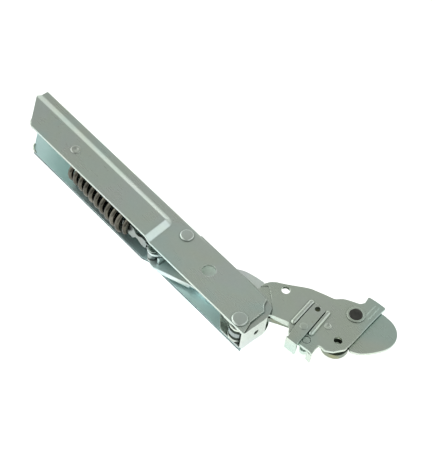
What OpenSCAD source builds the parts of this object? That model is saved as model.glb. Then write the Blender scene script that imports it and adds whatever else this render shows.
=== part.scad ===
// Sprung lever hinge for a drop-down door.
// X runs along the housing (pivot end at x = 0, rear end at -X), +Y is the web
// side that the arm swings out of, Z is the width between the two side plates.
// The origin is the centre of the fixing hole in the end bracket's outer face.

/* [Housing channel] */
// Length of the folded channel
channel_len = 214; // [205:1:240]
// Outside of the web
web_y = 16.4; // [16.4:0.1:17.4]
// Open edge of the side plates
open_y = -11.6; // [-12.6:0.1:-11.6]
// Half of the outside width between the plain side plates
half_w = 9.35; // [9.35:0.05:9.8]
// Thickness of the housing sheet
sheet = 1.5; // [1.2:0.1:1.5]
// Height of the pressed-out step on each side plate
step_h = 2.5; // [1.5:0.1:3]
// Front end of the web, where the slot for the arm begins
slot_x = -67; // [-72:1:-64]
// Radius of the round access hole in each side plate
access_r = 4.3; // [3:0.1:5]

/* [End bracket] */
// Thickness of the bracket's face plate
face_t = 1.5; // [1.2:0.1:1.6]
// Radius of the fixing hole
screw_r = 1.75; // [1.5:0.05:2.2]
// Top edge of the face plate
face_top = 8; // [7:0.1:8]

/* [Pivot] */
// Radius of the bush that the arm turns on
bush_r = 3.6; // [3.2:0.05:3.8]
// Radius of the pivot rivet's shank
pivot_shank_r = 2.6; // [2:0.1:2.9]
// Radius of the pivot rivet's head
pivot_head_r = 4.9; // [4:0.1:5]

/* [Arm] */
// Thickness of each cheek plate
cheek_t = 2; // [1.6:0.1:2]
// Thickness of the core lever
core_t = 3.6; // [3:0.1:3.6]
// Radius of the hole for the lock pin
lock_r = 2.6; // [2:0.1:3]
// Radius of the hook pin
hook_pin_r = 4; // [3.4:0.1:4]
// Distance from the pivot to the crank pin
crank = 16; // [15:0.1:17]
// Radius of the crank pin
crank_pin_r = 2.5; // [2:0.1:2.6]

/* [Latch] */
// Thickness of the latch strap
strap_t = 1.5; // [1:0.1:1.5]
// How far the latch strap slides
latch_travel = 4; // [2:0.5:4]

/* [Spring] */
// Outside diameter of the spring
spring_d = 17; // [15:0.5:17.5]
// Diameter of the spring wire
wire_d = 3.4; // [3:0.1:3.6]

/* [Hidden] */
$fn = 64;
fit = 0.05;                       // running clearance on a radius
zi = half_w - sheet;              // inner face of the plain side plates
zs = half_w + step_h;             // outer face of the pressed step
cheek_z = 6.35;                   // outer face of the cheeks
cheek_in = cheek_z - cheek_t;     // inner face of the cheeks
core_z = core_t / 2;
flange_in = 6.7;                  // inner face of the bracket's flanges
pivot = [-8.5, -6.5];
spacer_at = [-72.6, 9.4];
access_at = [-45.3, 2.7];
anchor_at = [-163.6, -2];
link_at = [-80, -10];
crank_at = pivot + crank * [cos(105), sin(105)];
spring_a = [-161.2, -3.25];
spring_b = [-103, -7];
zinc = [0.60, 0.65, 0.61];
bright = [0.74, 0.78, 0.76];
yellow = [0.72, 0.68, 0.38];
bronze = [0.27, 0.22, 0.18];
black = [0.15, 0.15, 0.14];

// A corner cut back by d at most and rounded with three points
function rounded(p, d) = [for (i = [0 : len(p) - 1])
    let (a = p[(i + len(p) - 1) % len(p)], b = p[i], c = p[(i + 1) % len(p)],
         la = norm(a - b), lc = norm(c - b),
         q = b + (a - b) * min(d, la * 0.42) / la,
         r = b + (c - b) * min(d, lc * 0.42) / lc)
    each [q, (q + 2 * b + r) / 4, r]];

// Flat sheet piece with a rounded outline between two heights
module plate(p, z0, z1, d = 1) {
    translate([0, 0, z0]) linear_extrude(z1 - z0) polygon(rounded(p, d));
}

// Round pin or hole along Z
module rod(at, r, z0, z1) {
    translate([at[0], at[1], z0]) cylinder(r = r, h = z1 - z0);
}

// Round-ended bar between two points
module bar(a, b, r, z0, z1) {
    v = b - a;
    t = atan2(v[1], v[0]);
    translate([0, 0, z0]) linear_extrude(z1 - z0) polygon(concat(
        [for (i = [0 : 8]) b + r * [cos(t - 90 + i * 22.5), sin(t - 90 + i * 22.5)]],
        [for (i = [0 : 8]) a + r * [cos(t + 90 + i * 22.5), sin(t + 90 + i * 22.5)]]));
}

// Profile in Y and Z drawn out along X
module along_x(p, x0, x1) {
    translate([x0, 0, 0]) rotate([90, 0, 90]) linear_extrude(x1 - x0) polygon(p);
}

// Profile in X and Z drawn out along Y
module along_y(p, y0, y1) {
    translate([0, y1, 0]) rotate([90, 0, 0]) linear_extrude(y1 - y0) polygon(p);
}

// Pressed step of one side plate: slopes at the web side and at the front
module step(in, x0) {
    s = in * 0.5;
    intersection() {
        along_x([[-30, 0], [-30, zs - in], [7 - s, zs - in], [10.9 - s, half_w - in], [10.9 - s, 0]], x0, -60);
        along_y([[x0, 0], [x0, zs - in], [-88 - s, zs - in], [-83.2 - s, half_w - in], [-83.2 - s, 0]], -30, 14);
    }
}

module step_pair(in, x0) {
    step(in, x0);
    mirror([0, 0, 1]) step(in, x0);
}

module housing_channel() {
    r = 1.2;
    x0 = -channel_len;
    end = [[0, open_y], [-3.4, -3.2], [-3.9, 8.6], [-7.2, 11.6], [-8.8, 15.2], [-36, web_y]];
    near = concat(end, [[x0, web_y], [x0, 7], [x0 + 14, -8.1], [x0 + 18, open_y]]);
    far = concat(end, [[x0, web_y], [x0, 8], [x0 + 9, 0.7], [x0 + 18.4, -9.2], [x0 + 21, open_y]]);
    color(zinc) difference() {
        intersection() {
            union() {
                along_x([[open_y - 8, -half_w], [web_y - r, -half_w], [web_y - r * 0.3, -half_w + r * 0.3],
                    [web_y, -half_w + r], [web_y, half_w - r], [web_y - r * 0.3, half_w - r * 0.3],
                    [web_y - r, half_w], [open_y - 8, half_w]], x0 - 1, slot_x);
                translate([slot_x - 1, open_y - 8, -half_w])
                    cube([-slot_x + 2, web_y - open_y + 8, 2 * half_w]);
                step_pair(0, x0 - 1);
            }
            union() {
                translate([0, 0, -0.001]) linear_extrude(20) polygon(near);
                translate([0, 0, -20]) linear_extrude(20) polygon(far);
            }
        }
        translate([x0 - 5, open_y - 20, -zi]) cube([channel_len + 10, web_y - sheet - open_y + 20, 2 * zi]);
        translate([slot_x, open_y - 20, -zi]) cube([channel_len, 80, 2 * zi]);
        step_pair(sheet, x0 - 5);
        rod(pivot, pivot_shank_r + 0.02, -30, 30);
        rod(spacer_at, 2.52, -30, 30);
        rod(access_at, access_r, -30, 30);
        rod(anchor_at, 2.02, -30, 30);
    }
}

// Bent plate that closes the pivot end; its two flanges lie inside the side plates
module end_bracket() {
    f = [[0, open_y + 0.2], [0, face_top], [-3, 14.4], [-9.5, 17.2], [-33, 17.4], [-36, 14], [-30, 0], [-18, open_y + 0.2]];
    color(bright) difference() {
        intersection() {
            plate(f, -zi + 0.02, zi - 0.02, 2);
            translate([-60, open_y, -20]) cube([60, 60, 40]);
        }
        translate([-60 - face_t, -40, -flange_in]) cube([60, 80, 2 * flange_in]);
        translate([-10, face_top, -flange_in]) cube([20, 40, 2 * flange_in]);
        rod(pivot, pivot_shank_r + 0.02, -30, 30);
        translate([-5, 0, 0]) rotate([0, 90, 0]) cylinder(r = screw_r, h = 10);
    }
}

module pivot_rivet() {
    color(zinc) {
        rod(pivot, pivot_shank_r, -half_w - 0.1, half_w + 0.1);
        for (s = [0, 1]) mirror([0, 0, s]) {
            rod(pivot, pivot_head_r, half_w, half_w + 0.7);
            rod(pivot, pivot_head_r - 0.5, half_w + 0.7, half_w + 1.2);
        }
    }
}

module pivot_bush() {
    color(bright) difference() {
        rod(pivot, bush_r, -flange_in, flange_in);
        rod(pivot, pivot_shank_r + 0.02, -30, 30);
    }
}

module pivot_washers() {
    color(bright) for (s = [0, 1]) mirror([0, 0, s]) difference() {
        rod(pivot, 5.4, cheek_z + 0.05, flange_in);
        rod(pivot, bush_r + 0.02, 0, 30);
    }
}

module spacer_rivet() {
    color(zinc) {
        rod(spacer_at, 2.5, -half_w - 0.1, half_w + 0.1);
        for (s = [0, 1]) mirror([0, 0, s]) {
            rod(spacer_at, 4.3, half_w, half_w + 0.7);
            rod(spacer_at, 3.8, half_w + 0.7, half_w + 1.2);
        }
    }
}

module spacer_tube() {
    color(bright) difference() {
        rod(spacer_at, 4, -zi, zi);
        rod(spacer_at, 2.52, -30, 30);
    }
}

module anchor_pin() {
    color(zinc) {
        rod(anchor_at, 2, -zs, zs + 0.1);
        difference() {
            rod(anchor_at, 3.3, zs, zs + 0.4);
            translate([anchor_at[0], anchor_at[1], zs + 1.7]) sphere(r = 1.6);
        }
    }
}

// Flat strip from the rear pin into the spring
module anchor_tongue() {
    p = [[-168.4, -4.4], [-168.4, 1.2], [-161, 1.6], [-152, -0.4], [-150, -3.8], [-153, -6.4], [-161, -6]];
    color(bright) difference() {
        plate(p, -1.1, 1.1, 2);
        rod(anchor_at, 2.02, -30, 30);
    }
}

// Envelope of the coil spring
module main_spring() {
    v = spring_b - spring_a;
    color(bronze) translate([spring_a[0], spring_a[1], 0]) rotate([0, 0, atan2(v[1], v[0])])
        rotate([0, 90, 0]) difference() {
            cylinder(r = spring_d / 2, h = norm(v));
            translate([0, 0, -1]) cylinder(r = spring_d / 2 - wire_d, h = norm(v) + 2);
        }
}

// Flat tongue lying across the width; its wide end seats in the spring, its eye holds the link pin
module spring_hook() {
    half = [[-109, 3.2], [-103.4, 3.4], [-102.6, 4.3], [-99, 4.4], [-96.6, 1.6], [-94.8, 1.5],
            [-91.4, 3.2], [-88.2, 3.3], [-87.6, 2], [-78, 2]];
    color(bright) difference() {
        union() {
            along_y(concat(half, [for (i = [9 : -1 : 0]) [half[i][0], -half[i][1]]]), -9.6, -7.8);
            rod(link_at, 3.3, -2, 2);
        }
        translate([-87, -12, -1.2]) cube([3, 6, 2.4]);
        rod(link_at, 2.2 + fit, -30, 30);
    }
}

module link_pin() {
    color(zinc) {
        rod(link_at, 2.2, -4.6, 4.6);
        for (s = [0, 1]) mirror([0, 0, s]) rod(link_at, 3.1, 3.9, 4.9);
    }
}

// Link with two side flanges joined by a short web; the far flange has a turned lower lip
module draw_link() {
    top = [[-14, 1], [-8, 3.4], [-5.4, 9], [-6.8, 14.4], [-11.4, 18], [-17.4, 19.2], [-20.4, 25.9],
           [-27.8, 24.5], [-34.4, 22.5], [-38.5, 19.7], [-44, 14], [-52, 9], [-60, 3], [-70, -2], [-79, -5.6]];
    near = concat([[-84.4, -8], [-84, -12], [-79.6, -13.7], [-76, -12.2], [-72.6, -8], [-60, -5.2],
        [-44, -3], [-30, -2], [-20, 0.6]], top);
    far = concat([[-84.6, -8.6], [-77.6, -15.1], [-73, -15.6], [-70, -13.6], [-50, -6.6],
        [-44, -5], [-30, -2], [-20, 0.6]], top);
    color(bright) difference() {
        union() {
            plate(near, 2.3, 3.9, 1.6);
            plate(far, -3.9, -2.3, 1.6);
            translate([-74.4, -11.5, -2.35]) cube([1.6, 6, 4.7]);
            // turned lip
            translate([0, 0, -5.8]) linear_extrude(3.4)
                polygon([[-71.2, -14.35], [-50.4, -6.72], [-50.8, -5.5], [-71.8, -13.1]]);
        }
        rod(link_at, 2.22, -30, 30);
        rod(crank_at + [-0.8, 0.27], crank_pin_r + 2.95, -30, 30);
    }
}

// Hub and neck that both cheeks share
hub = [[-14.1, -6.5], [-13.2, -10], [-10.4, -11.9], [-6.6, -11.9], [-3.8, -10], [-2.9, -6.5],
       [-3.2, 0], [-5, 8.6], [-1.2, 11.5], [4.1, 14], [9.2, 16.2]];
neck = [[-2.7, 40.8], [-7.2, 37], [-11.8, 33.2], [-16.1, 30], [-18.4, 27.2],
        [-19.6, 23.6], [-19.2, 19.5], [-17.4, 11], [-15.2, 2]];

module near_cheek() {
    p = concat(hub, [[13.4, 12.4], [13.9, 11.1], [23.4, 10.4], [30.8, 11.6], [33.5, 10.9], [32.2, 15.1],
        [31.4, 18.8], [33.6, 19.2], [35.8, 18.9], [39.8, 22.1], [43.2, 28.6], [42.5, 35.7],
        [39.8, 52.5], [38.2, 64], [38, 67.9], [30.5, 67], [25.7, 65.8], [27.5, 61], [26.1, 58.1],
        [20.7, 55.2], [17.4, 53], [14.4, 48.9], [6.6, 45.8]], [[0.2, 43]], neck);
    color(zinc) {
        difference() {
            union() {
                plate(p, cheek_in, cheek_z, 1);
                // rails beside the latch strap
                for (k = [[0.5, 0], [0.9, 0.3], [1.3, 0.7]]) {
                    bar([11, 18.5], [7.6, 36.2], 1.4 - k[1], cheek_z - 0.1, cheek_z + k[0]);
                    bar([23.1, 20.7], [19.1, 38.4], 1.3 - k[1], cheek_z - 0.1, cheek_z + k[0]);
                }
            }
            // shallow recess where the hub runs inside the bracket
            plate([[-25, 8], [-18.6, 22.4], [-17, 24.6], [-14.5, 23.7], [-3.1, 15], [4, 5], [0, -20], [-25, -20]],
                cheek_z - 0.4, cheek_z + 1, 1);
            rod(pivot, bush_r + fit, -30, 30);
            rod(crank_at, crank_pin_r + 0.02, -30, 30);
            rod([-8.2, 30.5], lock_r, -30, 30);
            rod([36.3, 29.8], 2.6, -30, 30);
            rod([30.1, 50.6], hook_pin_r + 0.02, -30, 30);
            rod([24.4, 15.7], 2.62, -30, 30);
            rod([25.4, 32.2], 1.52, -30, 30);
            rod([13.9, 34.9], 1.52, -30, 30);
            bar([17.4, 20.2], [17.4, 20.2] + (latch_travel + 0.3) * [0.19, -0.982], 1.7, -30, 30);
        }
        // edge folded down over the neck, deeper towards the head
        intersection() {
            translate([0, 0, core_z + 0.1]) linear_extrude(cheek_in - core_z)
                polygon([[-1.2, 11.5], [4.1, 14], [9.2, 16.2], [8.6, 17.6], [3.5, 15.4], [-1.8, 12.8]]);
            translate([-3, 0, cheek_in - 0.6]) rotate([0, 12, 0]) cube([20, 40, 10]);
        }
        // tab folded down beside the notch
        translate([0, 0, -3]) linear_extrude(cheek_in + 3)
            polygon([[29.6, 11.4], [33.2, 11], [32.8, 12.6], [29.4, 13]]);
    }
}

module far_cheek() {
    p = concat([for (i = [0 : 6]) hub[i]], [[-5, 8.6], [-4.8, 14.6], [2, 18.4], [8, 21.2], [16, 23], [22, 23.6],
        [28, 28.4], [31, 36], [31, 46], [28, 57],
        [20.7, 55.2], [17.4, 53], [14.4, 48.9], [6.6, 45.8]], [[0.2, 43]], neck);
    color(zinc) difference() {
        plate(p, -cheek_z, -cheek_in, 1);
        rod(pivot, bush_r + fit, -30, 30);
        rod(crank_at, crank_pin_r + 0.02, -30, 30);
        rod([-8.2, 30.5], lock_r, -30, 30);
        rod([30.1, 50.6], hook_pin_r + 0.02, -30, 30);
        rod([25.4, 32.2], 1.52, -30, 30);
    }
}

// Thick lever between the cheeks with a round end
module core_lever() {
    p = [[-14.1, -6.5], [-13.2, -10], [-10.4, -11.9], [-6.6, -11.9], [-3.8, -10], [-2.9, -6.5],
         [-3.4, 0], [-5.2, 8.6], [-1.6, 11.9], [3.4, 14.9], [8.4, 17.6], [12, 18.6], [15, 18.4], [21, 18.6], [27.6, 25.4], [30, 23], [32.4, 21.7],
         [35, 21.3], [38, 21.9], [40.6, 23.4], [42.4, 25.8], [43.2, 28.6], [43, 32], [40, 38],
         [37.4, 48], [33, 57], [27, 58], [20, 50], [8, 41], [-2, 33], [-6, 27], [-13, 24], [-16.4, 16], [-15.2, 2]];
    color(yellow) difference() {
        plate(p, -core_z, core_z, 1.2);
        rod(pivot, bush_r + fit, -30, 30);
        rod(crank_at, crank_pin_r + 0.02, -30, 30);
        rod([30.1, 50.6], hook_pin_r + 0.02, -30, 30);
        rod([36.3, 29.8], 1.9, -30, 30);
        rod([25.4, 32.2], 1.52, -30, 30);
    }
}

module hook_blade() {
    p = [[44.9, 31.5], [49.7, 34.9], [52.5, 38.7], [54.8, 42.9], [56.8, 47.5], [57.7, 51.9], [57.2, 56.4],
         [55.5, 60], [52.6, 62.9], [49.4, 64.6], [46.1, 65.4], [39.2, 65.3], [33, 63], [26, 58], [22, 52],
         [24, 45.6], [30, 42.4], [37, 39], [41.4, 33.6]];
    color(zinc) difference() {
        plate(p, core_z, cheek_in - 0.7, 1.6);
        rod([30.1, 50.6], hook_pin_r + 0.02, -30, 30);
    }
}

module hook_pin() {
    color(black) rod([30.1, 50.6], hook_pin_r, -cheek_z - 0.6, cheek_z + 0.7);
}

module hook_pin_collar() {
    color(bright) difference() {
        rod([30.1, 50.6], 5.5, cheek_z, cheek_z + 1);
        rod([30.1, 50.6], hook_pin_r + 0.02, -30, 30);
    }
}

module crank_pin() {
    color(zinc) rod(crank_at, crank_pin_r, -cheek_z + 0.1, cheek_z - 0.45);
}

// Stepped stub that stands down from the near cheek
module stop_pin() {
    color(bright) {
        rod([24.4, 15.7], 2.6, cheek_in - 0.1, cheek_z);
        rod([24.4, 15.7], 3, 1.4, cheek_in);
        rod([24.4, 15.7], 2, -2, 1.5);
        rod([24.4, 15.7], 2.8, -5.4, -1.9);
    }
}

module cheek_rivet() {
    color(zinc) {
        rod([25.4, 32.2], 1.5, -cheek_z, cheek_z + 0.1);
        rod([25.4, 32.2], 2.1, cheek_z, cheek_z + 0.5);
    }
}

module detent_rivet() {
    color(yellow) rod([13.9, 34.9], 1.5, cheek_in, cheek_z - 0.05);
}

// Sliding strap with its lower end bent down as a finger tab
module latch_strap() {
    z0 = cheek_z + 0.05;
    p = [[16.5, 8.6], [23.6, 9.4], [21.6, 19.6], [17.6, 37.7], [10.1, 37.3], [10, 35], [13.2, 18.5]];
    color(bright) {
        difference() {
            plate(p, z0, z0 + strap_t, 0.6);
            rod([13.9, 34.9], 1.8, -30, 30);
            rod([17.4, 20.2], 1.52, -30, 30);
        }
        translate([0, 0, -2.5]) linear_extrude(z0 + strap_t + 2.5)
            polygon([[16.3, 7.1], [24, 7.9], [23.6, 9.4], [16.5, 8.6]]);
    }
}

module latch_stud() {
    z0 = cheek_z + 0.05 + strap_t;
    color(zinc) {
        rod([17.4, 20.2], 1.5, cheek_in - 0.2, z0 + 0.1);
        rod([17.4, 20.2], 2.5, z0, z0 + 0.45);
        rod([17.4, 20.2], 2.4, cheek_in - 0.9, cheek_in - 0.1);
    }
}

housing_channel();
end_bracket();
pivot_rivet();
pivot_bush();
pivot_washers();
spacer_rivet();
spacer_tube();
anchor_pin();
anchor_tongue();
main_spring();
spring_hook();
link_pin();
draw_link();
near_cheek();
far_cheek();
core_lever();
hook_blade();
hook_pin();
hook_pin_collar();
crank_pin();
stop_pin();
cheek_rivet();
detent_rivet();
latch_strap();
latch_stud();
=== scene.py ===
import bpy
import math
import numpy as np
from mathutils import Matrix, Vector


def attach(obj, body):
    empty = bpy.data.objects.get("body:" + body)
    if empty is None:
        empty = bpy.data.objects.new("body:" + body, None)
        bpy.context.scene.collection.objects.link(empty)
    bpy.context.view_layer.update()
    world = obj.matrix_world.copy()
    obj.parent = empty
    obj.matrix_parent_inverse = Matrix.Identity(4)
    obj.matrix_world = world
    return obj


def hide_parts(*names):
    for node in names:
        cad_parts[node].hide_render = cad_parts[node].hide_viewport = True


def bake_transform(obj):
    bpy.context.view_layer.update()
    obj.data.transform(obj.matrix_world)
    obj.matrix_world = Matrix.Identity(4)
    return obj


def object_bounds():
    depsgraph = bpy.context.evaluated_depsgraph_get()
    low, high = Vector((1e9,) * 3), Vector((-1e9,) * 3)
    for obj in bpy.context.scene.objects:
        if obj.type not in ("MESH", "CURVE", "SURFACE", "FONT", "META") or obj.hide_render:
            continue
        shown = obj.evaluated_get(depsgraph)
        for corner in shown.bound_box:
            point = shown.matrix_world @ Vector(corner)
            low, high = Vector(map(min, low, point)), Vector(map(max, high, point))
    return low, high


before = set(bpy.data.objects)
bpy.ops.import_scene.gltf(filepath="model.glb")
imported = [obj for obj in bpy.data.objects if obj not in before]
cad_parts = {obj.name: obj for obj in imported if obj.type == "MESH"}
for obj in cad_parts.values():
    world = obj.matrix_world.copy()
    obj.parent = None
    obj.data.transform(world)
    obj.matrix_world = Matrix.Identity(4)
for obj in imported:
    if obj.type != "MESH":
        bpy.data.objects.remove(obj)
CAD_LO, CAD_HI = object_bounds()
MM = 0.001
scene = bpy.context.scene


# ---------------------------------------------------------------- materials
def nodes_of(mat):
    mat.use_nodes = True
    nt = mat.node_tree
    nt.nodes.clear()
    out = nt.nodes.new("ShaderNodeOutputMaterial")
    bsdf = nt.nodes.new("ShaderNodeBsdfPrincipled")
    nt.links.new(bsdf.outputs[0], out.inputs[0])
    return nt, bsdf


def coords(nt, scale=(1, 1, 1), rot=(0, 0, 0)):
    tc = nt.nodes.new("ShaderNodeTexCoord")
    mp = nt.nodes.new("ShaderNodeMapping")
    mp.inputs["Scale"].default_value = scale
    mp.inputs["Rotation"].default_value = rot
    nt.links.new(tc.outputs["Object"], mp.inputs["Vector"])
    return mp.outputs["Vector"]


def noise(nt, vec, scale, detail=4.0, rough=0.55, distort=0.0):
    n = nt.nodes.new("ShaderNodeTexNoise")
    n.inputs["Scale"].default_value = scale
    n.inputs["Detail"].default_value = detail
    n.inputs["Roughness"].default_value = rough
    n.inputs["Distortion"].default_value = distort
    nt.links.new(vec, n.inputs["Vector"])
    return n.outputs["Fac"]


def ramp(nt, fac, stops):
    r = nt.nodes.new("ShaderNodeValToRGB")
    e = r.color_ramp.elements
    while len(e) < len(stops):
        e.new(0.5)
    for k, (pos, col) in zip(e, stops):
        k.position = pos
        k.color = (*col, 1) if len(col) == 3 else col
    nt.links.new(fac, r.inputs["Fac"])
    return r.outputs["Color"]


def mix(nt, fac, a, b, mode="MIX"):
    m = nt.nodes.new("ShaderNodeMix")
    m.data_type = "RGBA"
    m.blend_type = mode
    for sock, val in ((m.inputs["Factor"], fac), (m.inputs[6], a), (m.inputs[7], b)):
        if isinstance(val, (int, float)):
            sock.default_value = val
        elif isinstance(val, tuple):
            sock.default_value = (*val, 1)
        else:
            nt.links.new(val, sock)
    return m.outputs[2]


def remap(nt, fac, a, b, lo=0.0, hi=1.0):
    m = nt.nodes.new("ShaderNodeMapRange")
    m.inputs["From Min"].default_value = lo
    m.inputs["From Max"].default_value = hi
    m.inputs["To Min"].default_value = a
    m.inputs["To Max"].default_value = b
    nt.links.new(fac, m.inputs["Value"])
    return m.outputs["Result"]


def zinc(name, base=(0.615, 0.655, 0.605), tint=(0.56, 0.65, 0.63), warm=(0.66, 0.64, 0.56), rough=0.27, grain=1.0, deep=False):
    """Zinc plate over rolled sheet: cloudy passivation, fine rolling lines, faint handling marks."""
    mat = bpy.data.materials.new(name)
    nt, b = nodes_of(mat)
    v = coords(nt)
    lines = coords(nt, scale=(0.06, 1, 1))
    cloud = noise(nt, v, 34, 4, 0.55, 0.4)
    hue = noise(nt, v, 22, 2, 0.4, 0.6)
    patch = noise(nt, v, 13, 3, 0.5, 0.8)
    fine = noise(nt, v, 700, 3, 0.6)
    streak = noise(nt, lines, 1100, 3, 0.6)
    spots = noise(nt, v, 320, 2, 0.5)
    c = mix(nt, remap(nt, cloud, 0.0, 1.0, 0.30, 0.72), base, tint)
    c = mix(nt, ramp(nt, patch, [(0.56, (0, 0, 0)), (0.74, (0.4, 0.4, 0.4))]), c, warm)
    c = mix(nt, 1.0, c, ramp(nt, hue, [(0.34, (0.90, 1.0, 1.0)), (0.44, (0.99, 1.0, 0.97)), (0.52, (0.99, 1.0, 0.95)), (0.62, (1.0, 0.985, 0.985))]), "MULTIPLY")
    c = mix(nt, 1.0, c, ramp(nt, fine, [(0.25, (0.95, 0.95, 0.95)), (0.75, (1, 1, 1))]), "MULTIPLY")
    c = mix(nt, 1.0, c, ramp(nt, spots, [(0.21, (0.86, 0.84, 0.78)), (0.27, (1, 1, 1))]), "MULTIPLY")
    # painted shade: ambient occlusion darkens the colour in crevices, gaps and corners between parts
    ao = nt.nodes.new("ShaderNodeAmbientOcclusion")
    ao.samples = 6
    ao.inputs["Distance"].default_value = 0.0015
    c = mix(nt, 1.0, c, ramp(nt, ao.outputs["AO"], [(0.48, (0.13, 0.15, 0.14)), (0.88, (1, 1, 1))]), "MULTIPLY")
    if deep:
        # painted reflection: towards the far side (low Z) the colour is blended into a light teal, standing in for the
        # teal reflections seen on the far side and the inside
        tc = nt.nodes.new("ShaderNodeTexCoord")
        sx = nt.nodes.new("ShaderNodeSeparateXYZ")
        nt.links.new(tc.outputs["Object"], sx.inputs[0])
        c = mix(nt, remap(nt, sx.outputs["Z"], 1.0, 0.0, -0.0075, 0.0065), c, (0.70, 0.89, 0.895))
        # the colour is darker towards the rear and lighter towards the front
        c = mix(nt, 1.0, c, ramp(nt, remap(nt, sx.outputs["X"], 0.0, 1.0, -0.19, -0.03), [(0.0, (0.95, 0.95, 0.95)), (1.0, (1.13, 1.14, 1.14))]), "MULTIPLY")
        # painted shade: the far side plate's cut edge facing the open side is darkened, standing in for a dark
        # reflection from below
        geo = nt.nodes.new("ShaderNodeNewGeometry")
        sn = nt.nodes.new("ShaderNodeSeparateXYZ")
        nt.links.new(geo.outputs["Normal"], sn.inputs[0])
        m = nt.nodes.new("ShaderNodeMath")
        m.operation = "MULTIPLY"
        nt.links.new(remap(nt, sn.outputs["Y"], 1.0, 0.0, -0.85, -0.45), m.inputs[0])
        nt.links.new(remap(nt, sx.outputs["Z"], 1.0, 0.0, -0.006, -0.003), m.inputs[1])
        c = mix(nt, m.outputs[0], c, (0.16, 0.20, 0.20))
    nt.links.new(c, b.inputs["Base Color"])
    b.inputs["Metallic"].default_value = 0.97
    r = remap(nt, cloud, rough - 0.02, rough + 0.05, 0.3, 0.7)
    add = nt.nodes.new("ShaderNodeMath")
    add.operation = "ADD"
    nt.links.new(r, add.inputs[0])
    nt.links.new(remap(nt, streak, -0.03, 0.03), add.inputs[1])
    out_r = add.outputs[0]
    if deep:
        far = nt.nodes.new("ShaderNodeMath")
        far.operation = "ADD"
        nt.links.new(out_r, far.inputs[0])
        nt.links.new(remap(nt, sx.outputs["Z"], 0.20, 0.0, -0.0075, 0.0065), far.inputs[1])
        out_r = far.outputs[0]
    nt.links.new(out_r, b.inputs["Roughness"])
    edge = nt.nodes.new("ShaderNodeBevel")
    edge.samples = 6
    edge.inputs["Radius"].default_value = 0.00042
    bump = nt.nodes.new("ShaderNodeBump")
    nt.links.new(edge.outputs[0], bump.inputs["Normal"])
    bump.inputs["Strength"].default_value = 0.03 * grain
    bump.inputs["Distance"].default_value = 0.00005
    nt.links.new(streak, bump.inputs["Height"])
    bump2 = nt.nodes.new("ShaderNodeBump")
    bump2.inputs["Strength"].default_value = 0.02 * grain
    bump2.inputs["Distance"].default_value = 0.0002
    nt.links.new(hue, bump2.inputs["Height"])
    nt.links.new(bump.outputs[0], bump2.inputs["Normal"])
    nt.links.new(bump2.outputs[0], b.inputs["Normal"])
    return mat


def spring_steel():
    mat = bpy.data.materials.new("spring_wire_dark")
    nt, b = nodes_of(mat)
    v = coords(nt)
    big = noise(nt, v, 120, 4, 0.6)
    fine = noise(nt, v, 1500, 3, 0.6)
    c = ramp(nt, big, [(0.30, (0.066, 0.063, 0.051)), (0.52, (0.125, 0.120, 0.097)), (0.72, (0.215, 0.205, 0.172))])
    nt.links.new(c, b.inputs["Base Color"])
    b.inputs["Metallic"].default_value = 1.0
    nt.links.new(remap(nt, big, 0.18, 0.30, 0.3, 0.7), b.inputs["Roughness"])
    # painted shade: ambient occlusion darkens the wire colour between the coils and where they sit close to other parts
    ao = nt.nodes.new("ShaderNodeAmbientOcclusion")
    ao.samples = 6
    ao.inputs["Distance"].default_value = 0.002
    c2 = mix(nt, 1.0, c, ramp(nt, ao.outputs["AO"], [(0.45, (0.06, 0.06, 0.06)), (0.95, (1, 1, 1))]), "MULTIPLY")
    nt.links.new(c2, b.inputs["Base Color"])
    bump = nt.nodes.new("ShaderNodeBump")
    bump.inputs["Strength"].default_value = 0.2
    bump.inputs["Distance"].default_value = 0.00008
    nt.links.new(fine, bump.inputs["Height"])
    nt.links.new(bump.outputs[0], b.inputs["Normal"])
    return mat


def yellow_zinc():
    mat = bpy.data.materials.new("yellow_passivate")
    nt, b = nodes_of(mat)
    v = coords(nt)
    a1 = noise(nt, v, 90, 4, 0.6, 0.6)
    a2 = noise(nt, v, 800, 3, 0.6)
    c = ramp(nt, a1, [(0.30, (0.20, 0.245, 0.205)), (0.48, (0.24, 0.28, 0.22)), (0.62, (0.32, 0.33, 0.20)), (0.8, (0.22, 0.27, 0.22))])
    tc = nt.nodes.new("ShaderNodeTexCoord")
    sx = nt.nodes.new("ShaderNodeSeparateXYZ")
    nt.links.new(tc.outputs["Object"], sx.inputs[0])
    c = mix(nt, remap(nt, sx.outputs["Y"], 0.0, 1.0, 0.004, 0.016), (0.33, 0.38, 0.37), c)
    # painted shade: ambient occlusion darkens the colour in crevices and gaps between parts
    ao = nt.nodes.new("ShaderNodeAmbientOcclusion")
    ao.samples = 6
    ao.inputs["Distance"].default_value = 0.0025
    c = mix(nt, 1.0, c, ramp(nt, ao.outputs["AO"], [(0.48, (0.15, 0.17, 0.14)), (0.88, (1, 1, 1))]), "MULTIPLY")
    nt.links.new(c, b.inputs["Base Color"])
    b.inputs["Metallic"].default_value = 0.9
    nt.links.new(remap(nt, a2, 0.28, 0.40), b.inputs["Roughness"])
    return mat


def black_oxide():
    mat = bpy.data.materials.new("black_oxide")
    nt, b = nodes_of(mat)
    v = coords(nt)
    a1 = noise(nt, v, 400, 4, 0.6)
    c = ramp(nt, a1, [(0.3, (0.045, 0.045, 0.041)), (0.7, (0.080, 0.080, 0.072))])
    nt.links.new(c, b.inputs["Base Color"])
    b.inputs["Metallic"].default_value = 0.6
    nt.links.new(remap(nt, a1, 0.30, 0.44), b.inputs["Roughness"])
    bump = nt.nodes.new("ShaderNodeBump")
    bump.inputs["Strength"].default_value = 0.15
    bump.inputs["Distance"].default_value = 0.0001
    nt.links.new(a1, bump.inputs["Height"])
    nt.links.new(bump.outputs[0], b.inputs["Normal"])
    return mat


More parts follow.
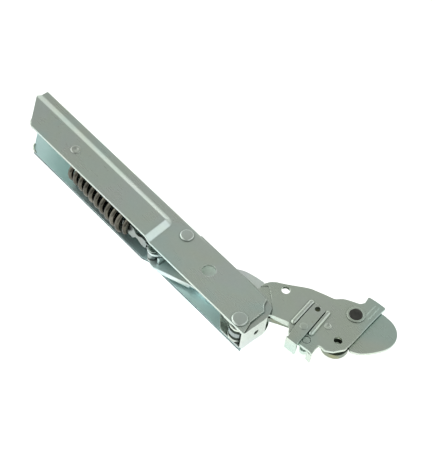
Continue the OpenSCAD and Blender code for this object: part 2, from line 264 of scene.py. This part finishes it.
ZINC = zinc("zinc_sheet_housing", base=(0.635, 0.68, 0.63), tint=(0.575, 0.67, 0.65), grain=0.5, deep=True)
ZINC_ARM = zinc("zinc_sheet_arm", base=(0.67, 0.735, 0.66), tint=(0.67, 0.74, 0.69), warm=(0.73, 0.69, 0.62))
ZINC_BRIGHT = zinc("zinc_bright", base=(0.66, 0.70, 0.66), tint=(0.62, 0.69, 0.67), warm=(0.68, 0.66, 0.60), rough=0.22)
ZINC_LINK = zinc("zinc_matte", base=(0.83, 0.875, 0.86), tint=(0.79, 0.86, 0.86), warm=(0.82, 0.84, 0.80), rough=0.44)
ZINC_HEAD = zinc("zinc_headed", base=(0.69, 0.75, 0.72), tint=(0.66, 0.74, 0.72), warm=(0.62, 0.62, 0.57), rough=0.29, grain=0.5)
ZINC_FAR = zinc("zinc_sheet_inner", base=(0.58, 0.63, 0.57), tint=(0.57, 0.63, 0.59), warm=(0.63, 0.60, 0.54))
# painted shade: the spring tongue gets a much darker copy of the zinc, standing in for the shade it sits in between the
# housing plates
ZINC_HOOK = zinc("zinc_tongue", base=(0.36, 0.385, 0.375), tint=(0.32, 0.37, 0.37), warm=(0.36, 0.35, 0.33), rough=0.34)
ZINC_PIN = zinc("zinc_turned", base=(0.60, 0.64, 0.59), tint=(0.58, 0.64, 0.61), warm=(0.63, 0.62, 0.56), rough=0.24, grain=0.5)
SPRING = spring_steel()
YELLOW = yellow_zinc()
BLACK = black_oxide()


# ---------------------------------------------------------------- mesh helpers
def finish_modifiers(o, bevel=None, angle=32, weld=False, segs=2):
    if weld:
        w = o.modifiers.new("weld", "WELD")
        w.merge_threshold = 2e-6
        e = o.modifiers.new("crease", "EDGE_SPLIT")
        e.split_angle = math.radians(angle)
        e.use_edge_angle = True
        return
    if bevel:
        m = o.modifiers.new("edge", "BEVEL")
        m.width = bevel * MM
        m.segments = segs
        m.limit_method = "ANGLE"
        m.angle_limit = math.radians(angle)
        m.harden_normals = True
        m.use_clamp_overlap = True


def mesh_object(name, verts, faces, mat, body=None, replaces=(), smooth=True, bevel=None, angle=32):
    me = bpy.data.meshes.new(name)
    me.from_pydata([tuple(x * MM for x in v) for v in verts], [], faces)
    me.validate()
    me.update()
    if smooth:
        me.polygons.foreach_set("use_smooth", [True] * len(me.polygons))
    me.materials.append(mat)
    o = bpy.data.objects.new(name, me)
    scene.collection.objects.link(o)
    if bevel is not None:
        finish_modifiers(o, bevel, angle)
    if body:
        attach(o, body)
    if replaces:
        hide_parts(*replaces)
    return o


def lathe_data(at, profile, n=64, axis="Z"):
    """Surface of revolution about an axis parallel to Z through at; the profile starts and ends on the axis."""
    verts, faces = [], []
    rings = []
    for r, z in profile:
        if r <= 1e-6:
            rings.append([len(verts)])
            verts.append((at[0], at[1], z))
        else:
            rings.append(list(range(len(verts), len(verts) + n)))
            for k in range(n):
                a = 2 * math.pi * k / n
                verts.append((at[0] + r * math.cos(a), at[1] + r * math.sin(a), z))
    for p, q in zip(rings, rings[1:]):
        for k in range(n):
            k2 = (k + 1) % n
            if len(p) == 1 and len(q) == 1:
                continue
            if len(p) == 1:
                faces.append((p[0], q[k], q[k2]))
            elif len(q) == 1:
                faces.append((p[k], q[0], p[k2]))
            else:
                faces.append((p[k], q[k], q[k2], p[k2]))
    return verts, faces


def merged(parts):
    verts, faces = [], []
    for v, f in parts:
        off = len(verts)
        verts += v
        faces += [tuple(i + off for i in q) for q in f]
    return verts, faces


def fix_normals(o):
    import bmesh

    bm = bmesh.new()
    bm.from_mesh(o.data)
    bmesh.ops.recalc_face_normals(bm, faces=bm.faces)
    bm.to_mesh(o.data)
    bm.free()
    o.data.set_sharp_from_angle(angle=math.radians(38))


def lathe(name, at, profile, mat, body, replaces=(), n=64, bevel=None):
    v, f = lathe_data(at, profile, n)
    o = mesh_object(name, v, f, mat, body, replaces, True, bevel)
    fix_normals(o)
    return o


def arc(cx, cz, r, a0, a1, n):
    return [(cx + r * math.cos(math.radians(a0 + (a1 - a0) * k / n)), cz + r * math.sin(math.radians(a0 + (a1 - a0) * k / n))) for k in range(n + 1)]


def head_profile(r, z0, h, shoulder=0.85):
    """Radius/height pairs of a flat-topped rivet head with a rounded sloping shoulder, rim first."""
    p = [(r, z0), (r, z0 + h * 0.22)]
    for k in range(1, 7):
        a = math.radians(90 * k / 7)
        p.append((r - shoulder * (1 - math.cos(a)) ** 0.9, z0 + h * (0.22 + 0.76 * math.sin(a) ** 1.1)))
    p += [(r - shoulder, z0 + h * 0.985), (r - shoulder - 0.5, z0 + h), (0, z0 + h)]
    return p


def two_head_rivet(name, at, r_shank, r_head, z_face, h, mat, body, node):
    top = head_profile(r_head, z_face, h)
    prof = [(0, -z_face - h)] + [(r, -z) for r, z in reversed(top[:-1])] + [(r_shank, -z_face)] + [(r_shank, z_face)] + top
    return lathe(name, at, prof, mat, body, (node,))


# ---------------------------------------------------------------- housing shell
HALF, SHEET, STEP = 9.35, 1.5, 2.5
WEB_Y, OPEN_Y, X0, SLOT_X = 16.4, -11.6, -214.0, -67.0


def ramp_round(t, e):
    """0..1 ramp with short rounded ends of share e."""
    t = min(1.0, max(0.0, t))
    k = 1.0 / (1.0 - e)
    if t < e:
        return k * t * t / (2 * e)
    if t > 1 - e:
        return 1 - k * (1 - t) ** 2 / (2 * e)
    return k * (t - e / 2)


def step_height(x, y):
    """Height of the pressed step above the plain plate."""
    dx, dy = x + 0.097 * y + 88.4, y - 5.8
    run_y = 4.6 + 1.2 * min(1.0, max(0.0, (-100 - x) / 90))
    run_x = 5.3
    if dx > 0 and dy > 0:
        t = math.hypot(dx / run_x, dy / run_y)
    else:
        t = max(dx / run_x, dy / run_y)
    return STEP * (1 - ramp_round(t, 0.17))


def piecewise(pts, y):
    """x on a polyline given as (y, x) pairs in rising y."""
    for (y0, x0), (y1, x1) in zip(pts, pts[1:]):
        if y <= y1:
            return x0 + (x1 - x0) * (y - y0) / (y1 - y0)
    return pts[-1][1]


REAR_NEAR = [(-11.6, -196.0), (-8.1, -200.0), (7.0, -214.0), (16.4, -214.0)]
REAR_FAR = [(-11.6, -193.0), (-9.2, -195.6), (0.7, -205.0), (8.0, -214.0), (16.4, -214.0)]
FRONT = [(-11.6, 0.0), (-3.2, -3.4), (8.6, -3.9), (11.6, -7.2), (16.4, -8.8)]


def build_housing():
    ys = [-11.6, -9.2, -8.1, -5.6, -3.2, 0.7, 3.0, 5.0]
    ys += list(np.arange(5.6, 12.2, 0.3)) + [12.6, 13.4, 14.3, 15.2]
    bend = 5
    xs_mid = [-190, -175, -160, -145, -130, -115, -104, -98]
    xs_mid += list(np.arange(-94.0, -80.9, 0.32))
    xs_mid += [-78, -75, -72, SLOT_X, SLOT_X + 0.02, -52, -36, -24, -14]
    t_rear, t_front = [0, 0.5], [0.5, 1]
    cols = [("r", t) for t in t_rear] + [("m", x) for x in xs_mid] + [("f", t) for t in t_front]
    prof = [("p", y, 1) for y in ys] + [("b", k / bend, 1) for k in range(1, bend + 1)]
    webz = [4.0, 0.0, -4.0]
    prof += [("w", z, 0) for z in webz]
    prof += [("b", 1 - k / bend, -1) for k in range(0, bend)] + [("p", y, -1) for y in reversed(ys)]
    R = 1.2

    def point(col, pr, inner):
        kind, val, side = pr
        if kind == "p":
            y = val
        elif kind == "w":
            y = WEB_Y
        else:
            y = WEB_Y - R + R * val  # only used to find x along an end outline
        kc, vc = col
        if kc == "m":
            x = vc
        elif kc == "r":
            xr = piecewise(REAR_NEAR if side >= 0 else REAR_FAR, y)
            x = xr + (xs_mid[0] - xr) * vc
        else:
            xf = piecewise(FRONT, y)
            x = xs_mid[-1] + (xf - xs_mid[-1]) * vc
        th = SHEET if inner else 0.0
        # the web-side edge of the front part runs down towards the pivot
        drop = 1.2 * min(1.0, max(0.0, (x + 36) / 27.2)) * min(1.0, max(0.0, (y - 11.6) / 4.8))
        if kind == "w":
            return (x, WEB_Y - th, val)
        if kind == "p":
            z = HALF + step_height(x, y) - th
            return (x, y - drop, side * z)
        if x > SLOT_X + 0.001:
            return (x, WEB_Y - R + R * val - drop, side * (HALF - th))
        a = math.radians(90 * (1 - val))
        r = R if not inner else 0.25
        if inner:
            return (x, WEB_Y - SHEET - r + r * math.cos(a), side * (HALF - SHEET - r + r * math.sin(a)))
        return (x, WEB_Y - R + r * math.cos(a), side * (HALF - R + r * math.sin(a)))

    nc, npf = len(cols), len(prof)
    verts = []
    for inner in (False, True):
        for c in cols:
            for p in prof:
                verts.append(point(c, p, inner))
    idx = lambda inner, i, j: (inner * nc + i) * npf + j

    def cell(i, j):
        if not (0 <= i < nc - 1 and 0 <= j < npf - 1):
            return False
        ka, kb = prof[j][0], prof[j + 1][0]
        web = (ka == "w" or kb == "w")
        if web and cols[i][0] != "r":
            x_lo = cols[i][1] if cols[i][0] == "m" else 0
            if x_lo >= SLOT_X - 0.001:
                return False
        return True

    faces = []
    for i in range(nc - 1):
        for j in range(npf - 1):
            if not cell(i, j):
                continue
            faces.append((idx(0, i, j), idx(0, i + 1, j), idx(0, i + 1, j + 1), idx(0, i, j + 1)))
            faces.append((idx(1, i, j), idx(1, i, j + 1), idx(1, i + 1, j + 1), idx(1, i + 1, j)))
            if not cell(i - 1, j):
                faces.append((idx(0, i, j), idx(0, i, j + 1), idx(1, i, j + 1), idx(1, i, j)))
            if not cell(i + 1, j):
                faces.append((idx(0, i + 1, j + 1), idx(0, i + 1, j), idx(1, i + 1, j), idx(1, i + 1, j + 1)))
            if not cell(i, j - 1):
                faces.append((idx(0, i + 1, j), idx(0, i, j), idx(1, i, j), idx(1, i + 1, j)))
            if not cell(i, j + 1):
                faces.append((idx(0, i, j + 1), idx(0, i + 1, j + 1), idx(1, i + 1, j + 1), idx(1, i, j + 1)))
    o = mesh_object("housing_shell", verts, faces, ZINC)
    # drop unused points of the web cells that were left out, then make the faces point outwards
    import bmesh

    bm = bmesh.new()
    bm.from_mesh(o.data)
    bmesh.ops.delete(bm, geom=[v for v in bm.verts if not v.link_faces], context="VERTS")
    bmesh.ops.recalc_face_normals(bm, faces=bm.faces)
    bm.to_mesh(o.data)
    bm.free()
    # the round access hole in each side plate
    cut_parts = []
    for at, r in (((-45.3, 2.7), 4.3),):
        for s in (1, -1):
            cut_parts.append(lathe_data(at, [(0, s * 5.0), (r, s * 5.0), (r, s * 14.0), (0, s * 14.0)], 56))
    v, f = merged(cut_parts)
    cutter = mesh_object("cutter", v, f, ZINC)
    fix_normals(cutter)
    m = o.modifiers.new("holes", "BOOLEAN")
    m.operation = "DIFFERENCE"
    m.solver = "EXACT"
    m.object = cutter
    bpy.context.view_layer.update()
    dg = bpy.context.evaluated_depsgraph_get()
    me = bpy.data.meshes.new_from_object(o.evaluated_get(dg))
    o.modifiers.clear()
    o.data = me
    bpy.data.objects.remove(cutter)
    me.polygons.foreach_set("use_smooth", [True] * len(me.polygons))
    finish_modifiers(o, 0.30, 55)
    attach(o, "housing")
    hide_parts("housing_channel")
    return o


build_housing()


# ---------------------------------------------------------------- rivets and pins
PIVOT, SPACER, ANCHOR, LINK = (-8.5, -6.5), (-72.6, 9.4), (-163.6, -2.0), (-80.0, -10.0)
CRANK = (PIVOT[0] + 16 * math.cos(math.radians(105)), PIVOT[1] + 16 * math.sin(math.radians(105)))
HOOKPIN = (30.1, 50.6)
two_head_rivet("pivot_rivet_turned", PIVOT, 2.6, 4.9, HALF, 1.2, ZINC_HEAD, "housing", "pivot_rivet")
two_head_rivet("spacer_rivet_turned", SPACER, 2.5, 4.3, HALF, 1.2, ZINC_HEAD, "housing", "spacer_rivet")
Z = HALF + STEP
lathe("anchor_pin_turned", ANCHOR,
      [(0, -Z + 0.02), (1.8, -Z + 0.02), (2.0, -Z + 0.2), (2.0, Z), (3.2, Z), (3.3, Z + 0.12), (3.1, Z + 0.3),
       (2.7, Z + 0.39), (2.0, Z + 0.38), (1.5, Z + 0.30), (0.9, Z + 0.16), (0, Z + 0.10)],
      ZINC_PIN, "housing", ("anchor_pin",))
lathe("hook_pin_turned", HOOKPIN,
      [(0, -6.93), (3.7, -6.93), (4.0, -6.6), (4.0, 6.8), (3.92, 6.95), (3.75, 7.03), (2.8, 7.05), (0, 7.05)],
      BLACK, "arm", ("hook_pin",))
lathe("hook_pin_collar_turned", HOOKPIN,
      [(4.03, 6.37), (5.4, 6.37), (5.5, 6.5), (5.5, 6.75), (5.44, 6.87), (5.3, 6.92), (4.22, 6.95), (4.1, 6.9), (4.03, 6.8), (4.03, 6.37)],
      ZINC_ARM, "arm", ("hook_pin_collar",))
CZ = 6.35
lathe("cheek_rivet_domed", (25.4, 32.2),
      [(0, -CZ), (1.5, -CZ), (1.5, CZ), (2.4, CZ + 0.01), (2.45, CZ + 0.1), (2.3, CZ + 0.17), (2.0, CZ + 0.16), (1.4, CZ + 0.02), (0.7, CZ - 0.2), (0, CZ - 0.26)],
      ZINC_ARM, "arm", ("cheek_rivet",))
SZ = CZ + 0.05 + 1.5
lathe("latch_stud_domed", (17.4, 20.2),
      [(0, 3.46), (2.3, 3.46), (2.4, 3.56), (2.4, 4.2), (1.5, 4.25), (1.5, SZ), (2.45, SZ), (2.5, SZ + 0.08), (2.42, SZ + 0.20),
       (2.2, SZ + 0.27), (1.2, SZ + 0.30), (0, SZ + 0.31)],
      ZINC_ARM, "latch", ("latch_stud",))
lathe("stop_pin_turned", (24.4, 15.7),
      [(0, -5.38), (2.5, -5.38), (2.8, -5.1), (2.8, -2.2), (2.55, -1.95), (2.0, -1.9), (2.0, 1.45), (3.0, 1.5), (3.0, 4.33), (2.28, 4.34),
       (2.28, 6.22), (2.2, 6.31), (2.05, 6.34), (0, 6.34)],
      ZINC_ARM, "arm", ("stop_pin",))


# ---------------------------------------------------------------- ribs beside the latch strap
def ridge_data(a, b, r, h, z, n=14, rings=7):
    """Long low dome with round ends, standing on height z."""
    t = math.atan2(b[1] - a[1], b[0] - a[0])
    verts, faces = [], []
    for k in range(rings + 1):
        u = math.radians(90 * k / rings)
        rk, zk = max(r * math.cos(u), 0.02), z + h * math.sin(u) ** 0.85
        for c, t0 in ((b, -90), (a, 90)):
            for i in range(n + 1):
                w = t + math.radians(t0 + 180 * i / n)
                verts.append((c[0] + rk * math.cos(w), c[1] + rk * math.sin(w), zk))
    m = 2 * (n + 1)
    for k in range(rings):
        for i in range(m):
            j = (i + 1) % m
            faces.append((k * m + i, k * m + j, (k + 1) * m + j, (k + 1) * m + i))
    faces.append(tuple(rings * m + i for i in range(m)))
    faces.append(tuple(i for i in reversed(range(m))))
    return verts, faces


for nm, ra, rb, rr in (("cheek_rib_a", (11, 18.5), (7.6, 36.2), 1.75), ("cheek_rib_b", (23.1, 20.7), (19.1, 38.4), 1.6)):
    v, f = ridge_data(ra, rb, rr, 1.42, 6.30)
    rib = mesh_object(nm, v, f, ZINC_ARM, "arm")
    fix_normals(rib)


# shallow stamped lines on the shoulder of the near cheek
for nm, ra, rb in (("cheek_emboss_a", (36.9, 54.2), (35.3, 64.9)), ("cheek_emboss_b", (34.4, 53.6), (32.8, 64.2))):
    v, f = ridge_data(ra, rb, 0.55, 0.16, 6.33, 10, 4)
    em = mesh_object(nm, v, f, ZINC_ARM, "arm")
    fix_normals(em)


# ---------------------------------------------------------------- spring
def sweep(points, radius, n=14):
    pts = [np.array(p, float) for p in points]
    verts, faces = [], []
    t = [(pts[min(i + 1, len(pts) - 1)] - pts[max(i - 1, 0)]) for i in range(len(pts))]
    t = [v / np.linalg.norm(v) for v in t]
    ref = np.array([0, 0, 1.0]) if abs(t[0][2]) < 0.9 else np.array([0, 1.0, 0])
    nrm = ref - t[0] * (ref @ t[0])
    nrm /= np.linalg.norm(nrm)
    for i, p in enumerate(pts):
        nrm = nrm - t[i] * (nrm @ t[i])
        nrm /= np.linalg.norm(nrm)
        bi = np.cross(t[i], nrm)
        for k in range(n):
            a = 2 * math.pi * k / n
            verts.append(tuple(p + radius * (math.cos(a) * nrm + math.sin(a) * bi)))
    for i in range(len(pts) - 1):
        for k in range(n):
            k2 = (k + 1) % n
            faces.append((i * n + k, (i + 1) * n + k, (i + 1) * n + k2, i * n + k2))
    faces.append(tuple(range(n)))
    faces.append(tuple((len(pts) - 1) * n + k for k in reversed(range(n))))
    return verts, faces


def build_spring():
    a, b = np.array([-161.2, -3.45, 0]), np.array([-101.4, -7.1, 0])
    d = b - a
    length = np.linalg.norm(d)
    d /= length
    side = np.array([-d[1], d[0], 0])
    up = np.array([0, 0, 1.0])
    wire, coils = 1.8, 10.4
    rad = 8.4 - wire
    pts = []
    steps = 420
    for i in range(steps + 1):
        u = i / steps
        turn = u * coils
        ease = min(1.0, min(turn, coils - turn) / 0.4)
        r = rad * (0.74 + 0.26 * ease * ease * (3 - 2 * ease))
        ang = 2 * math.pi * turn + math.radians(60)
        s = wire + (length - 2 * wire) * u
        pts.append(a + d * s + r * (math.cos(ang) * side + math.sin(ang) * up))
    v, f = sweep(pts, wire, 16)
    o = mesh_object("main_spring_coil", v, f, SPRING)
    fix_normals(o)
    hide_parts("main_spring")
    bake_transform(o)
    return o


build_spring()

# raised upper edge of the bracket's near flange, and the small turned nibs at the rear corners
LIP = [(-34, 14.6), (-33.2, 16.6), (-31.6, 17.0), (-25.4, 17.1), (-22.6, 17.9), (-18, 17.85), (-11, 17.4), (-9.5, 16.6), (-8.4, 14.6)]
Z_LO, Z_HI = 6.75, 7.8
n = len(LIP)
verts = [(x, y, Z_LO) for x, y in LIP] + [(x, y, Z_HI) for x, y in LIP]
faces = [tuple(range(n - 1, -1, -1)), tuple(range(n, 2 * n))]
faces += [(k, (k + 1) % n, n + (k + 1) % n, n + k) for k in range(n)]
o = mesh_object("bracket_lip", verts, faces, ZINC_BRIGHT, "housing", bevel=0.35, angle=40)
fix_normals(o)
v, f = sweep([(-9.4, 15.6, 9.16), (-7.6, 11.7, 9.16), (-6.4, 10.4, 9.16), (-4.3, 8.6, 9.16), (-3.9, 3.0, 9.16), (-3.5, -3.0, 9.16), (-2.2, -6.0, 9.16), (-0.4, -10.8, 9.16)], 0.36, 10)
o = mesh_object("plate_front_burr", v, f, ZINC_PIN, "housing")
fix_normals(o)
v, f = sweep([(37.9, 67.2, 6.12), (38.1, 63.9, 6.12), (39.7, 52.5, 6.12), (42.4, 35.7, 6.12), (43.05, 28.7, 6.12), (39.9, 22.4, 6.12), (36.2, 19.3, 6.12)], 0.3, 10)
o = mesh_object("cheek_edge_burr", v, f, ZINC_PIN, "arm")
fix_normals(o)
for nm, pts in (("rear_nib_near", [(-200.3, -7.4, 10.7), (-199.2, -8.9, 11.0), (-197.4, -10.3, 11.0), (-195.6, -10.9, 10.6), (-194.6, -10.9, 9.9)]),
                ("rear_nib_far", [(-197.6, -7.2, -10.4), (-196.4, -8.9, -10.2), (-194.6, -10.2, -10.1), (-192.6, -10.8, -10.5), (-191.6, -10.8, -10.9)])):
    v, f = sweep(pts, 0.78, 12)
    o = mesh_object(nm, v, f, ZINC_PIN, "housing")
    fix_normals(o)


# ---------------------------------------------------------------- carried-over CAD nodes
CAD_LOOK = {
    "end_bracket": (ZINC_BRIGHT, 0.42), "draw_link": (ZINC_LINK, 0.22), "near_cheek": (ZINC_ARM, 0.42),
    "far_cheek": (ZINC_FAR, 0.2), "core_lever": (YELLOW, 0.25), "hook_blade": (ZINC_ARM, 0.28),
    "latch_strap": (ZINC_ARM, 0.26), "spring_hook": (ZINC_HOOK, 0.25), "anchor_tongue": (ZINC_BRIGHT, 0.25),
    "spacer_tube": (ZINC_PIN, 0.15), "pivot_bush": (ZINC_PIN, 0.1), "pivot_washers": (ZINC_PIN, 0.08),
    "link_pin": (ZINC_PIN, 0.2), "crank_pin": (ZINC_PIN, 0.2), "detent_rivet": (YELLOW, 0.1),
}
for name, (mat, bev) in CAD_LOOK.items():
    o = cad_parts[name]
    o.data.materials.clear()
    o.data.materials.append(mat)
    finish_modifiers(o, bev, 32, weld=True)


# ---------------------------------------------------------------- floor, light, camera
FLOOR_Z = CAD_LO.z - 0.0001
me = bpy.data.meshes.new("floor")
S = 6.0
me.from_pydata([(-S, -S, FLOOR_Z), (S, -S, FLOOR_Z), (S, S, FLOOR_Z), (-S, S, FLOOR_Z)], [], [(0, 1, 2, 3)])
floor = bpy.data.objects.new("floor", me)
scene.collection.objects.link(floor)
fm = bpy.data.materials.new("floor_paper")
nt, b = nodes_of(fm)
b.inputs["Base Color"].default_value = (0.82, 0.82, 0.82, 1)
b.inputs["Emission Color"].default_value = (1.0, 1.01, 1.0, 1)
b.inputs["Emission Strength"].default_value = 0.76
b.inputs["Roughness"].default_value = 0.9
b.inputs["Specular IOR Level"].default_value = 0.1
me.materials.append(fm)


def area(name, loc, target, size, power, color=(1, 1, 1), size_y=None):
    d = bpy.data.lights.new(name, "AREA")
    d.energy = power
    d.color = color
    d.shape = "RECTANGLE"
    d.size = size
    d.size_y = size_y or size
    o = bpy.data.objects.new(name, d)
    scene.collection.objects.link(o)
    o.location = loc
    o.rotation_mode = "QUATERNION"
    o.rotation_quaternion = (Vector(target) - Vector(loc)).to_track_quat("-Z", "Y")
    return o


MID = (-0.07, 0.02, 0)
area("key_left", (-1.6, -0.7, 1.3), MID, 2.2, 12)
area("fill_right", (1.5, 0.5, 1.9), MID, 1.8, 4)
area("front_low", (-0.5, -1.8, 1.3), MID, 2.2, 8)

world = bpy.data.worlds.new("studio")
scene.world = world
world.use_nodes = True
wn = world.node_tree
wn.nodes.clear()
wout = wn.nodes.new("ShaderNodeOutputWorld")
bg = wn.nodes.new("ShaderNodeBackground")
tc = wn.nodes.new("ShaderNodeTexCoord")
sep = wn.nodes.new("ShaderNodeSeparateXYZ")
wn.links.new(tc.outputs["Generated"], sep.inputs[0])
cr = wn.nodes.new("ShaderNodeValToRGB")
wn.links.new(sep.outputs["Z"], cr.inputs["Fac"])
stops = [(0.0, 1.10), (0.10, 1.02), (0.30, 0.80), (0.55, 0.53), (0.76, 0.44), (0.90, 0.35), (1.0, 0.31)]
TINT = (1.0, 1.035, 0.985)
e = cr.color_ramp.elements
while len(e) < len(stops):
    e.new(0.5)
for k, (pos, val) in zip(e, stops):
    k.position = pos
    k.color = (val * TINT[0], val * TINT[1], val * TINT[2], 1)
sky = cr.outputs["Color"]


def lobe(colour, centre, inner, outer, level, tint=(1, 1, 1)):
    """Soft-edged round patch of the studio's surroundings."""
    c = Vector(centre).normalized()
    dot = wn.nodes.new("ShaderNodeVectorMath")
    dot.operation = "DOT_PRODUCT"
    wn.links.new(tc.outputs["Generated"], dot.inputs[0])
    dot.inputs[1].default_value = c
    mr = wn.nodes.new("ShaderNodeMapRange")
    mr.interpolation_type = "SMOOTHSTEP"
    mr.inputs["From Min"].default_value = math.cos(math.radians(outer))
    mr.inputs["From Max"].default_value = math.cos(math.radians(inner))
    wn.links.new(dot.outputs["Value"], mr.inputs["Value"])
    m = wn.nodes.new("ShaderNodeMix")
    m.data_type = "RGBA"
    wn.links.new(mr.outputs["Result"], m.inputs["Factor"])
    wn.links.new(colour, m.inputs[6])
    m.inputs[7].default_value = (level * tint[0], level * tint[1], level * tint[2], 1)
    return m.outputs[2]


sky = lobe(sky, (0.46, 0.47, 0.76), 13, 27, 1.06, (0.98, 1.01, 1.03))
sky = lobe(sky, (-0.95, 0.0, 0.40), 10, 28, 1.1)
sky = lobe(sky, (0.36, -0.50, 0.79), 5, 17, 0.15)
sky = lobe(sky, (0.80, 0.30, 0.42), 10, 24, 0.12)
sky = lobe(sky, (0.30, -0.90, 0.40), 26, 56, 0.34)
sky = lobe(sky, (-0.276, 0.941, 0.196), 3, 9.5, 0.16)
wn.links.new(sky, bg.inputs["Color"])
bg.inputs["Strength"].default_value = 1.0
wn.links.new(bg.outputs[0], wout.inputs[0])

scene.view_settings.view_transform = "Standard"
scene.view_settings.look = "None"

cam_data = bpy.data.cameras.new("camera")
cam = bpy.data.objects.new("camera", cam_data)
scene.collection.objects.link(cam)
cam_data.sensor_width = 36
cam_data.lens = 121.89
cam_data.clip_start, cam_data.clip_end = 0.01, 20
ROWS = ((0.666145, 0.739901, 0.093795), (0.622331, -0.482124, -0.616653), (-0.411042, 0.469152, -0.781627))
right, down, fwd = (Vector(r).normalized() for r in ROWS)
cam.matrix_world = Matrix((
    (right.x, -down.x, -fwd.x, 0.307377),
    (right.y, -down.y, -fwd.y, -0.399755),
    (right.z, -down.z, -fwd.z, 0.723072),
    (0, 0, 0, 1),
))
scene.camera = cam
